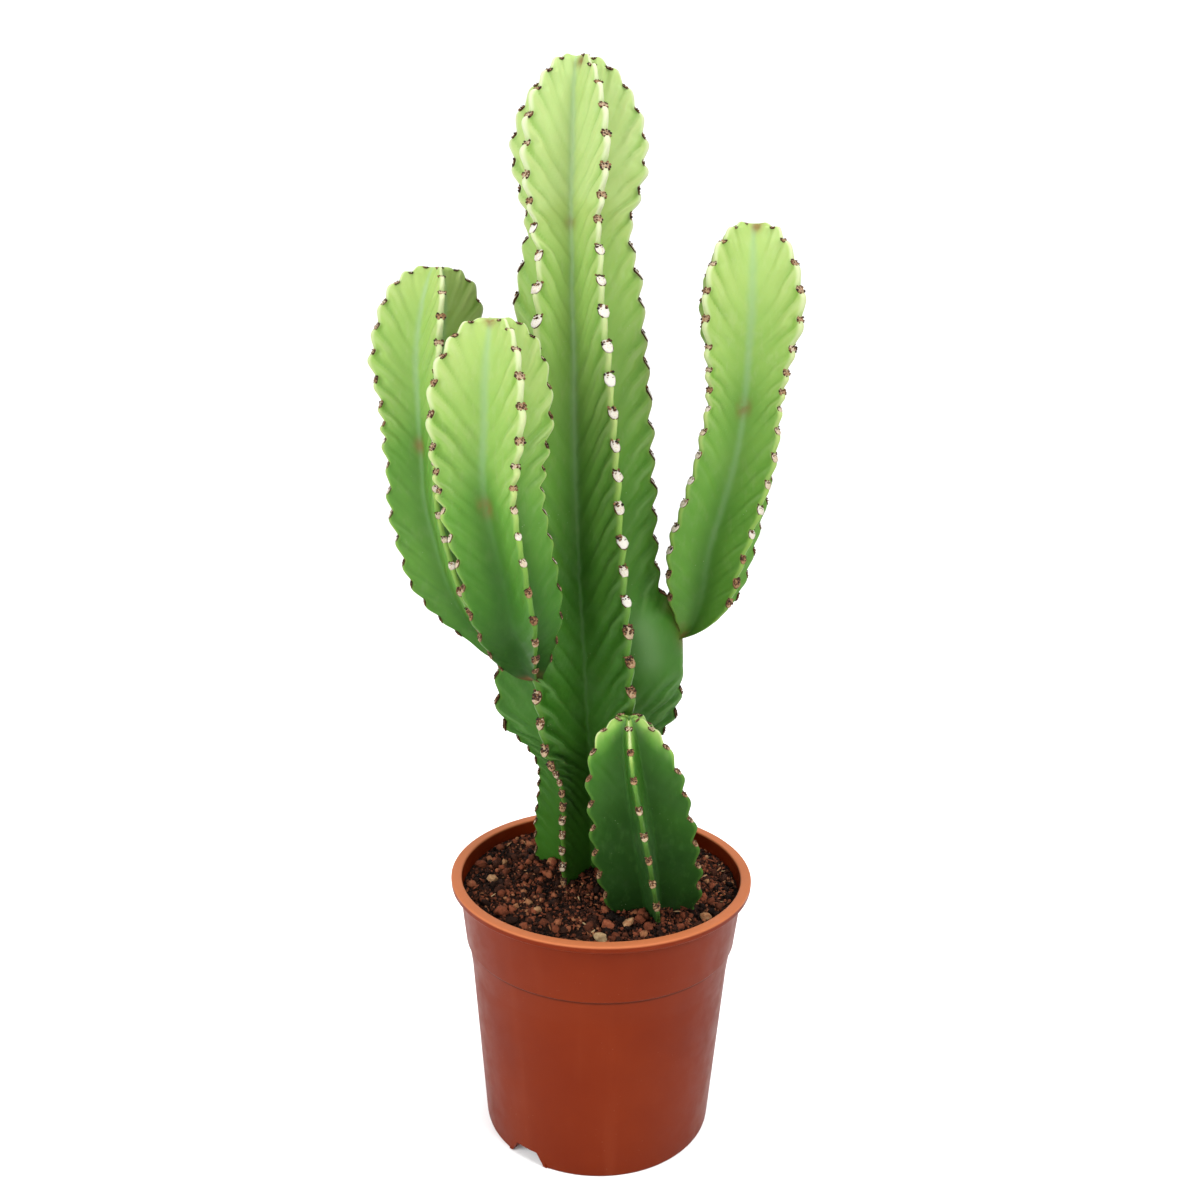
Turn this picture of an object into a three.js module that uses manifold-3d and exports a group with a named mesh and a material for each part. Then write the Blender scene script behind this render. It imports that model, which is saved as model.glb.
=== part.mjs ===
// A candelabra euphorbia, with one basal offset, growing in a round injection-moulded nursery pot.
//
// Millimetres, +Z up. The origin is on the pot's axis, on the flat underside that the pot stands on,
// and the front of the plant faces -Y. Angles around the axis are in degrees from -Y towards +X.
//
// Each stem is a stack of level star-shaped sections, one star point per rib, and its roots' collar
// is buried in the potting mix. Separate pieces keep a clearance to each other.

import * as THREE from "three";
import { ConvexGeometry } from "three/addons/geometries/ConvexGeometry.js";
import { mergeVertices } from "three/addons/utils/BufferGeometryUtils.js";
import Module from "manifold-3d";

const wasm = await Module();
wasm.setup();

// ---- Driving dimensions: pot ----
const POT_HEIGHT = 151;
const RIM_RADIUS = 85;
const RIM_DEPTH = 4.2;
const RIM_ROUND = 0.8;
const COLLAR_TOP_RADIUS = 80.4;
const COLLAR_BOTTOM = { radius: 76.6, z: 114 };
const BODY_TOP = { radius: 73.2, z: 98 };
const BASE_RADIUS = 65.2;
const FOOT_ROUND = 2;
const POT_WALL = 1.5;
const POT_SIDES = 48;

// A drainage notch is a trapezium cut in the foot of the wall, closed inside by a hollow boss.
const NOTCH = { bottom: 24, top: 14, height: 8, depth: 12, wall: 1.5, drain: 5 };
const NOTCH_ANGLES = [-36.5, 143.5];

// ---- Driving dimensions: potting mix ----
const CLEARANCE = 0.4;
const MIX_LEVEL = 143;
const MIX_MOUND = 4;
const MIX_RIPPLE = 0.7;
const MIX_RING_RADII = [70, 58, 46, 34, 22, 10];
const MOUND_CENTRE = { x: -8, y: 18, spread: 35 };

// ---- Driving dimensions: stems ----
// A level section of a stem, from a rib's crest down its flank to the groove: each point is
// [distance out along the rib, half of the rib's thickness], as shares of the crest radius.
const RIB_FLANK = {
  4: [[1, 0], [0.92, 0.08], [0.5, 0.14], [0.235, 0.235]],
  5: [[1, 0], [0.92, 0.075], [0.5, 0.13], [0.26, 0.19]],
};
const RINGS_PER_ROW = 2;

// Each row of a stem is [x, y, z, crest radius, angle of the rib that faces front right].
// An uneven rib stands out by a share `gain` more, or turns by some degrees, around a height z, from
// `below` under it to `above` over it. Ribs count from the front right one towards +X.
const STEMS = {
  trunk: {
    ribs: 5,
    rows: [
      [-7, 21, 105, 14, 45], [-7, 21, 125, 24, 45], [-7.5, 20, 143, 30, 45],
      [-8, 18.5, 165, 31.5, 45], [-8.5, 15.5, 192, 29.5, 45], [-9, 12.8, 207, 29.5, 43],
      [-9.1, 11.5, 216, 33.5, 42], [-9.2, 10.5, 226, 39, 40.5], [-9.8, 9, 240, 42, 38],
      [-10.3, 8, 257, 43, 36], [-11.5, 6.5, 288, 43, 34.5], [-13.2, 5, 320, 42.5, 33.5],
      [-15.5, 4, 374, 40.8, 31], [-16.3, 3, 415, 38.3, 28], [-18.8, 3, 466, 34.8, 25],
      [-18.9, 3, 485, 31.5, 25], [-18.9, 3, 502, 28.5, 25], [-18.8, 3, 514, 32, 25],
      [-18.2, 3, 533, 35, 25], [-18.3, 3, 547, 34, 25], [-18.5, 3, 559, 29.8, 25],
      [-18.5, 3, 569, 23.5, 25], [-18.5, 3, 577, 15.5, 25], [-18.5, 3, 580.5, 8, 25],
      [-18.5, 3, 579, 3, 25],
    ],
    uneven: [
      { rib: 0, z: 185, below: 60, above: 45, gain: -0.15, turn: 0 },
      { rib: 1, z: 268, below: 55, above: 38, gain: 0.33, turn: 0 },
      { rib: 3, z: 250, below: 28, above: 32, gain: 0.26, turn: 0 },
      { rib: 3, z: 545, below: 25, above: 25, gain: 0.1, turn: 0 },
      { rib: 4, z: 472, below: 45, above: 22, gain: -0.08, turn: 12 },
    ],
  },
  arm_right: {
    ribs: 4,
    rows: [
      [47.5, 22, 287, 7, 30], [51.5, 20, 296, 15.5, 30], [54.5, 18, 309, 23.5, 30],
      [57.5, 14, 337, 29, 31], [63.3, 10, 364, 29.2, 34], [67.9, 5, 391, 28, 37],
      [70, 2.5, 415, 26.3, 38], [70.5, 0, 437, 29.5, 39], [70.4, -2, 458, 34.3, 41],
      [70, -3, 473, 33.2, 41], [69.8, -3, 487, 28, 41], [69.7, -3, 497, 20.5, 41],
      [69.8, -3, 503, 12, 41], [69.9, -3, 504, 4, 41],
    ],
    uneven: [],
  },
  arm_front_left: {
    ribs: 4,
    rows: [
      [-38.5, -31, 275, 7, 25], [-39.5, -40, 281, 10.5, 25], [-41, -47.5, 289, 15, 25],
      [-42.3, -55, 302, 19.8, 25], [-44.5, -61, 320, 24.4, 25], [-48.7, -65, 345, 25, 25],
      [-54.7, -65.5, 373, 26, 27], [-56, -66, 390, 29, 30], [-55.3, -65.5, 408, 31.5, 31],
      [-55, -65, 423, 31.2, 31], [-54.5, -65, 437, 27.8, 31], [-54, -65, 449, 20.5, 31],
      [-54, -65, 455.5, 12.5, 31], [-54, -65, 458, 4, 31],
    ],
    uneven: [],
  },
  arm_back_left: {
    ribs: 4,
    rows: [
      [-58, 21.5, 271, 8, 10], [-65, 23, 280, 12.5, 10], [-74, 25, 293, 20, 10],
      [-82, 24.5, 311, 26.3, 10], [-88, 24, 331, 26.5, 10], [-94, 22, 358, 25, 10],
      [-96.5, 21, 388, 24.5, 14], [-97.2, 20, 412, 26, 19], [-97.3, 20, 434, 29, 20],
      [-96, 20, 450, 29, 20], [-94, 20, 465, 25.5, 20], [-92.5, 20, 475, 19, 20],
      [-91.5, 20, 480.5, 11, 20], [-91.3, 20, 482, 4, 20],
    ],
    uneven: [],
  },
  offset: {
    ribs: 5,
    rows: [
      [28, -20, 112, 12, 8], [27.8, -21.5, 126, 20, 8], [27.5, -23, 143, 25.5, 8],
      [25.5, -27, 162, 28.6, 6], [23, -31, 180, 29.6, 4.5], [20.5, -34.5, 198, 28.9, 3],
      [17.8, -37, 216, 27.3, 1], [15.3, -38.8, 233, 24, -1], [14, -39.5, 245, 19.5, -2],
      [13.2, -40, 253, 13, -3], [12.8, -40, 257, 6.5, -3], [12.7, -40, 256, 3, -3],
    ],
    uneven: [{ rib: 3, z: 175, below: 60, above: 60, gain: -0.22, turn: 0 }],
  },
};

// ---- Driving dimensions: lava stones lying in the top of the mix ----
// Each stone is [x, y, length, width, height, turn in degrees].
const STONES = [
  [-62, -2, 8, 6.5, 7, 20], [-73, -8, 7, 6, 6.5, -30], [-70.5, 18.5, 9, 7, 7, 10],
  [-54, -36, 10, 8, 8, 35], [-48, -47, 9.5, 6, 6, 10], [3, -50.5, 10, 7, 7, 12],
  [13.5, -51, 9, 7.5, 8, -18], [21, -45.5, 7.5, 7, 8, 0], [25, -53.5, 6.5, 6, 6.5, 25],
  [0, -64, 9, 8, 7, -8], [7.8, -61.5, 5, 5, 5.5, 15], [57, -38, 8, 6.5, 7, -20],
  [57, -19, 7, 6, 6.5, 30], [63, -6, 6.5, 6, 6, 5],
];
const STONE_SINK = 0.3;
const STONE_CORNERS = 14;

const COLOURS = {
  pot: 0xb4512a,
  mix: 0x2e1d17,
  stem: 0x4f8f2f,
  young: 0x8fc04e,
  stone: 0x8a5540,
};

// A repeatable source of numbers from 0 to 1.
function seeded(seed) {
  let state = seed >>> 0;
  return () => {
    state = (Math.imul(state, 1664525) + 1013904223) >>> 0;
    return state / 2 ** 32;
  };
}

// ---- Solids ----

// The same surface with one vertex per corner.
function welded(geometry) {
  const bare = geometry.clone();
  bare.deleteAttribute("normal");
  bare.deleteAttribute("uv");
  return mergeVertices(bare, 1e-3);
}

// A closed geometry as a manifold solid.
function toSolid(geometry) {
  const merged = welded(geometry);
  return new wasm.Manifold(
    new wasm.Mesh({
      numProp: 3,
      vertProperties: merged.attributes.position.array,
      triVerts: new Uint32Array(merged.index.array),
    }),
  );
}

// A manifold solid as a geometry; what a cut leaves loose beside the main body is dropped.
function toGeometry(solid) {
  const main = solid.decompose().sort((a, b) => b.volume() - a.volume())[0];
  const mesh = main.getMesh();
  const geometry = new THREE.BufferGeometry();
  geometry.setAttribute("position", new THREE.BufferAttribute(mesh.vertProperties, 3));
  geometry.setIndex(new THREE.BufferAttribute(mesh.triVerts, 1));
  geometry.computeVertexNormals();
  return geometry;
}

// The same geometry grown outwards along its normals, to cut room for a piece in its neighbour.
function grown(geometry, distance) {
  const merged = welded(geometry);
  merged.computeVertexNormals();
  const { position, normal } = merged.attributes;
  for (let i = 0; i < position.count; i++) {
    position.setXYZ(
      i,
      position.getX(i) + normal.getX(i) * distance,
      position.getY(i) + normal.getY(i) * distance,
      position.getZ(i) + normal.getZ(i) * distance,
    );
  }
  return merged;
}

// ---- Stems ----

// The values of a stem's rows at a place between two of them, on a smooth curve through all rows.
function rowAt(rows, place) {
  const i = Math.min(Math.floor(place), rows.length - 2);
  const t = place - i;
  const p0 = rows[Math.max(i - 1, 0)];
  const p1 = rows[i];
  const p2 = rows[i + 1];
  const p3 = rows[Math.min(i + 2, rows.length - 1)];
  return p1.map((_, k) => {
    const a = 2 * p1[k];
    const b = p2[k] - p0[k];
    const c = 2 * p0[k] - 5 * p1[k] + 4 * p2[k] - p3[k];
    const d = 3 * p1[k] - p0[k] - 3 * p2[k] + p3[k];
    return (a + b * t + c * t * t + d * t * t * t) / 2;
  });
}

// How much more than the others a rib stands out and turns at a height.
function ribUnevenness(uneven, rib, z) {
  const sum = { gain: 0, turn: 0 };
  for (const part of uneven.filter((candidate) => candidate.rib === rib)) {
    const away = (z - part.z) / (z < part.z ? part.below : part.above);
    const strength = Math.exp(-(away ** 4));
    sum.gain += part.gain * strength;
    sum.turn += part.turn * strength;
  }
  return sum;
}

// One level section of a stem as a closed ring of points.
function stemRing(stem, place) {
  const [x, y, z, radius, turn] = rowAt(stem.rows, place);
  const flank = RIB_FLANK[stem.ribs];
  const grooveOut = flank.at(-1)[0];
  const rising = flank.slice(1, -1).reverse().map(([out, half]) => [out, -half]);
  const ring = [];
  for (let rib = 0; rib < stem.ribs; rib++) {
    const { gain, turn: ownTurn } = ribUnevenness(stem.uneven, rib, z);
    const angle = THREE.MathUtils.degToRad(turn + ownTurn + (rib * 360) / stem.ribs);
    for (const [out, half] of [...rising, ...flank]) {
      const beyondGroove = (out - grooveOut) / (1 - grooveOut);
      const along = radius * (out + gain * beyondGroove);
      const across = radius * half;
      ring.push([
        x + along * Math.sin(angle) + across * Math.cos(angle),
        y - along * Math.cos(angle) + across * Math.sin(angle),
        z,
      ]);
    }
  }
  return ring;
}

// Rings of equal length, one above the other, joined by faces and closed by a fan at each end.
function closedStack(rings) {
  const count = rings[0].length;
  const points = rings.flat();
  const faces = [];
  for (let level = 0; level < rings.length - 1; level++) {
    for (let i = 0; i < count; i++) {
      const a = level * count + i;
      const b = level * count + ((i + 1) % count);
      faces.push(a, b, b + count, a, b + count, a + count);
    }
  }
  const centreOf = (ring) => [0, 1, 2].map((k) => ring.reduce((s, p) => s + p[k], 0) / count);
  const bottom = points.push(centreOf(rings[0])) - 1;
  const top = points.push(centreOf(rings.at(-1))) - 1;
  const lastLevel = (rings.length - 1) * count;
  for (let i = 0; i < count; i++) {
    const next = (i + 1) % count;
    faces.push(bottom, next, i, top, lastLevel + i, lastLevel + next);
  }
  const geometry = new THREE.BufferGeometry();
  geometry.setAttribute("position", new THREE.Float32BufferAttribute(points.flat(), 3));
  geometry.setIndex(faces);
  return geometry;
}

function stemGeometry(stem) {
  const steps = (stem.rows.length - 1) * RINGS_PER_ROW;
  const rings = [];
  for (let step = 0; step <= steps; step++) {
    rings.push(stemRing(stem, step / RINGS_PER_ROW));
  }
  return closedStack(rings);
}

// ---- Pot ----

const lathed = (outline) =>
  new THREE.LatheGeometry(outline.map(([r, z]) => new THREE.Vector2(r, z)), POT_SIDES)
    .rotateX(Math.PI / 2);

// The wall's outside from the foot up to the underside of the rim, as [radius, height].
const wallOutside = [
  [BASE_RADIUS, FOOT_ROUND],
  [BODY_TOP.radius, BODY_TOP.z],
  [COLLAR_BOTTOM.radius, COLLAR_BOTTOM.z],
  [COLLAR_TOP_RADIUS, POT_HEIGHT - RIM_DEPTH],
];

// The wall's inside at a height.
function insideRadius(z) {
  const above = wallOutside.findIndex(([, height]) => height >= z);
  const [r1, z1] = wallOutside[Math.max(above, 1)];
  const [r0, z0] = wallOutside[Math.max(above, 1) - 1];
  return r0 + ((r1 - r0) * (z - z0)) / (z1 - z0) - POT_WALL;
}

function potShell() {
  const outside = [
    [0, 0],
    [BASE_RADIUS - FOOT_ROUND, 0],
    [BASE_RADIUS - FOOT_ROUND * 0.3, FOOT_ROUND * 0.3],
    ...wallOutside,
    [RIM_RADIUS, POT_HEIGHT - RIM_DEPTH],
    [RIM_RADIUS, POT_HEIGHT - RIM_ROUND],
    [RIM_RADIUS - RIM_ROUND, POT_HEIGHT],
  ];
  const inside = [...wallOutside]
    .reverse()
    .slice(1, -1)
    .map(([, z]) => [insideRadius(z), z]);
  return lathed([
    ...outside,
    [insideRadius(POT_HEIGHT - RIM_DEPTH) + RIM_ROUND, POT_HEIGHT],
    [insideRadius(POT_HEIGHT - RIM_DEPTH), POT_HEIGHT - RIM_ROUND],
    [insideRadius(POT_HEIGHT - RIM_DEPTH), POT_HEIGHT - RIM_DEPTH],
    ...inside,
    [insideRadius(POT_WALL + 1), POT_WALL + 1],
    [insideRadius(POT_WALL) - 1, POT_WALL],
    [0, POT_WALL],
  ]);
}

// A trapezium standing on the floor of the pot, pushed inwards from radius `outer`.
function trapezium(angle, { bottom, top, height, base }, outer, depth) {
  const outline = new THREE.Shape([
    new THREE.Vector2(-bottom / 2, base),
    new THREE.Vector2(bottom / 2, base),
    new THREE.Vector2(top / 2, height),
    new THREE.Vector2(-top / 2, height),
  ]);
  return new THREE.ExtrudeGeometry(outline, { depth, bevelEnabled: false })
    .rotateX(Math.PI / 2)
    .translate(0, depth - outer, 0)
    .rotateZ(THREE.MathUtils.degToRad(angle));
}

function notchBoss(angle, clearance) {
  const wall = NOTCH.wall + clearance;
  const boss = {
    bottom: NOTCH.bottom + 2 * wall,
    top: NOTCH.top + 2 * wall,
    height: NOTCH.height + wall,
    base: POT_WALL / 2,
  };
  const outer = BASE_RADIUS - POT_WALL / 2;
  return trapezium(angle, boss, outer, NOTCH.depth + wall);
}

function notchCut(angle) {
  const { bottom, top, height, depth } = NOTCH;
  const past = 4;
  const outer = BASE_RADIUS + past;
  return trapezium(angle, { bottom, top, height, base: -1 }, outer, depth + past);
}

function drainHole(angle) {
  const height = 4 * NOTCH.wall;
  return new THREE.BoxGeometry(NOTCH.drain, NOTCH.drain, height)
    .translate(0, NOTCH.depth / 2 - BASE_RADIUS, NOTCH.height)
    .rotateZ(THREE.MathUtils.degToRad(angle));
}

function potSolid() {
  let pot = toSolid(potShell());
  for (const angle of NOTCH_ANGLES) {
    pot = pot
      .add(toSolid(notchBoss(angle, 0)))
      .subtract(toSolid(notchCut(angle)))
      .subtract(toSolid(drainHole(angle)));
  }
  return pot;
}

// ---- Potting mix ----

// The height of the top of the mix: level at the wall, mounded round the stems, a little uneven.
function mixHeight(x, y) {
  const away = Math.hypot(x - MOUND_CENTRE.x, y - MOUND_CENTRE.y) / MOUND_CENTRE.spread;
  const ripple = Math.sin(x / 9 + 1) * Math.cos(y / 11) + Math.sin((x + 2 * y) / 17);
  return MIX_LEVEL + MIX_MOUND * Math.exp(-away * away) + MIX_RIPPLE * ripple;
}

function mixGeometry() {
  const topRadius = insideRadius(MIX_LEVEL) - CLEARANCE;
  const floor = POT_WALL + CLEARANCE;
  const sides = wallOutside.slice(1, -1).map(([, z]) => [insideRadius(z) - CLEARANCE, z]);
  const geometry = lathed([
    [0, floor],
    [insideRadius(floor) - 1 - CLEARANCE, floor],
    [insideRadius(floor + 1) - CLEARANCE, floor + 1],
    ...sides,
    [topRadius - CLEARANCE, MIX_LEVEL],
    ...MIX_RING_RADII.map((r) => [r, MIX_LEVEL]),
    [0, MIX_LEVEL],
  ]);
  const { position } = geometry.attributes;
  for (let i = 0; i < position.count; i++) {
    if (position.getZ(i) > MIX_LEVEL - 1) {
      position.setZ(i, mixHeight(position.getX(i), position.getY(i)));
    }
  }
  return geometry;
}

// ---- Stones ----

// A rough convex lump: corners scattered evenly over an ellipsoid, then jittered.
function stoneGeometry([x, y, length, width, height, turn], seed) {
  const random = seeded(seed);
  const goldenAngle = Math.PI * (3 - Math.sqrt(5));
  const corners = [];
  for (let i = 0; i < STONE_CORNERS; i++) {
    const up = 1 - (2 * (i + 0.5)) / STONE_CORNERS;
    const ring = Math.sqrt(1 - up * up);
    const size = 0.88 + 0.12 * random();
    const around = goldenAngle * i + 0.5 * random();
    corners.push(
      new THREE.Vector3(
        (length / 2) * size * ring * Math.cos(around),
        (width / 2) * size * ring * Math.sin(around),
        (height / 2) * size * up,
      ),
    );
  }
  return new ConvexGeometry(corners)
    .rotateZ(THREE.MathUtils.degToRad(turn))
    .translate(x, y, mixHeight(x, y) + height * (0.5 - STONE_SINK));
}

// ---- Assembly ----

function addMesh(group, name, geometry, color, roughness) {
  const material = new THREE.MeshStandardMaterial({ color, roughness, metalness: 0 });
  const mesh = new THREE.Mesh(geometry, material);
  mesh.name = name;
  group.add(mesh);
}

const stemGeometries = {};
for (const [name, stem] of Object.entries(STEMS)) {
  stemGeometries[name] = stemGeometry(stem);
}
const { trunk: trunkGeometry, offset: offsetGeometry } = stemGeometries;
const trunkRoom = toSolid(grown(trunkGeometry, CLEARANCE));
const stoneGeometries = STONES.map((stone, i) => stoneGeometry(stone, i + 1));

// The offset grows from the trunk's foot, so the trunk gives way to it; the arms give way to the trunk.
const stemSolids = { trunk: toSolid(trunkGeometry).subtract(toSolid(grown(offsetGeometry, CLEARANCE))) };
for (const name of ["arm_right", "arm_front_left", "arm_back_left"]) {
  stemSolids[name] = toSolid(stemGeometries[name]).subtract(trunkRoom);
}
stemSolids.offset = toSolid(offsetGeometry);

let mix = toSolid(mixGeometry())
  .subtract(trunkRoom)
  .subtract(toSolid(grown(offsetGeometry, CLEARANCE)));
for (const angle of NOTCH_ANGLES) {
  mix = mix.subtract(toSolid(notchBoss(angle, CLEARANCE)));
}
for (const geometry of stoneGeometries) {
  mix = mix.subtract(toSolid(grown(geometry, CLEARANCE)));
}

const plant = new THREE.Group();
for (const [name, solid] of Object.entries(stemSolids)) {
  const colour = name.startsWith("arm") ? COLOURS.young : COLOURS.stem;
  addMesh(plant, name, toGeometry(solid), colour, 0.45);
}

const stones = new THREE.Group();
stoneGeometries.forEach((geometry, i) => {
  const name = `lava_stone_${String(i + 1).padStart(2, "0")}`;
  addMesh(stones, name, geometry, COLOURS.stone, 0.95);
});

const pottedEuphorbia = new THREE.Group();
pottedEuphorbia.name = "potted_euphorbia";
addMesh(pottedEuphorbia, "pot", toGeometry(potSolid()), COLOURS.pot, 0.5);
addMesh(pottedEuphorbia, "potting_mix", toGeometry(mix), COLOURS.mix, 0.95);
pottedEuphorbia.add(plant, stones);

export default pottedEuphorbia;
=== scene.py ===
"""A candelabra euphorbia in a terracotta-coloured nursery pot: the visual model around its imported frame.

Sizes in the tables are millimetres, in the frame's axes; meshes are made in metres. Angles around a
vertical axis are in degrees from -Y, the front, towards +X.
"""

import math

import bmesh
import bpy
import numpy as np
from mathutils import Matrix, Vector


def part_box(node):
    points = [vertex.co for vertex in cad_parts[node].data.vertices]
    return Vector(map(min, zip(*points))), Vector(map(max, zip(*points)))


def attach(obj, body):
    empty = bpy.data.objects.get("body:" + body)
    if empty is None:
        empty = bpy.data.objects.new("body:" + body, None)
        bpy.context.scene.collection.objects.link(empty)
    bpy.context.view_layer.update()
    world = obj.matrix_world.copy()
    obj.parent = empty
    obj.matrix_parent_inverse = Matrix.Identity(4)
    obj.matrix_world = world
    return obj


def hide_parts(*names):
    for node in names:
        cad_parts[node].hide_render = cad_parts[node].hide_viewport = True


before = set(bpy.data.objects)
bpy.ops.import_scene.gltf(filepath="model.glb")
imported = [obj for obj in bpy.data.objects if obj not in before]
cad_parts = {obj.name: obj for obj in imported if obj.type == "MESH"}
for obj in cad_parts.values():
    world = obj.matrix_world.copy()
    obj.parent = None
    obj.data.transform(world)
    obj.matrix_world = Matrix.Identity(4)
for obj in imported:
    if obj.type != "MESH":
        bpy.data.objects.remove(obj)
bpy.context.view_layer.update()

MM = 0.001

# ---- Camera ----
CAMERA_PLACE = (-0.0033, -0.627, 0.4643)
CAMERA_PITCH_DOWN = 13.89
CAMERA_ROLL = 0.97
CAMERA_LENS = 36.0
SENSOR_WIDTH = 36.0

# ---- Light ----
# name, place and target in metres, size in metres, power in watts
AREA_LIGHTS = [
    ("key", (1.15, -0.9, 1.6), (0, 0, 0.3), 0.9, 42),
    ("fill", (-1.3, -0.9, 1.0), (0, 0, 0.3), 1.0, 30),
    ("front", (-0.3, -1.7, 0.45), (0, 0, 0.25), 1.0, 13),
    ("top", (0.0, 0.3, 2.0), (0, 0, 0.3), 1.2, 31),
]
SKY_STRENGTH = 0.68
PAPER = (0.8, 0.8, 0.8, 1)
FLOOR_RADIUS = 1800
FLOOR_SWEEP = 900
FLOOR_TOP = 3000
FLOOR_SIDES = 96

# How much more light falls on the plant than shows pure white as white.
LIGHT_LEVEL = 2.55

# ---- Pot ----
POT_HEIGHT = 151.0
RIM_RADIUS = 85.0
RIM_DEPTH = 4.2
COLLAR_TOP_RADIUS = 80.4
COLLAR_BOTTOM = (76.6, 114.0)
BODY_TOP = (73.2, 98.0)
BASE_RADIUS = 65.2
COLLAR_STEP = 1.2
# Heights of extra rings of the wall, where the notches end and above.
WALL_RINGS = (9.0, 10.5, 13.0, 30.0)
POT_WALL = 1.5
POT_SIDES = 240
NOTCH_ANGLES = (-36.5, 143.5)
NOTCH = dict(bottom=24.0, top=14.0, height=8.0, depth=12.0, wall=1.5, drain=5.0)

# ---- Potting mix ----
MIX_LEVEL = 143.0
MIX_MOUND = 4.0
MOUND_CENTRE = (-8.0, 18.0)
MOUND_SPREAD = 35.0
MIX_RIPPLE = 0.7
MIX_SIDES = 200
MIX_TOP_RINGS = 56
# The peat lies this far below the grains, which fill up to the level.
PEAT_DROP = 0.8
GRAIN_COUNTS = dict(crumb=5200, grit=3200, lump=320, fibre=520)

# ---- Stems ----
RING_STEP = 1.15
FLANK_STEPS = 20
# How fast a pleat rises as it runs in from the crest.
PLEAT_SLOPE = 1.0
# The skin starts at this height, inside the mix.
BURIED = 130.0
# The new growth's colour reaches this much further down in the grooves than on the crests.
NEW_GROWTH_DIP = 18.0
MEAN_RIDGE = 0.65

# A grown shield is centred this far below the end of its lobe, on the lobe's steep upper side, and lies
# along the line between the crest's points this far below and above.
SHIELD_DROP = 1.1
SHIELD_REACH = 2.8

# Half of one rib's section, from crest to groove: (out along the rib, half its thickness), as shares of
# the crest radius.
RIB_FLANK = {
    4: [(1, 0), (0.985, 0.034), (0.94, 0.054), (0.8, 0.08), (0.6, 0.112), (0.4, 0.158), (0.29, 0.2),
        (0.235, 0.235)],
    5: [(1, 0), (0.988, 0.026), (0.945, 0.042), (0.8, 0.068), (0.6, 0.1), (0.42, 0.14), (0.31, 0.172),
        (0.262, 0.19)],
}

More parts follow.
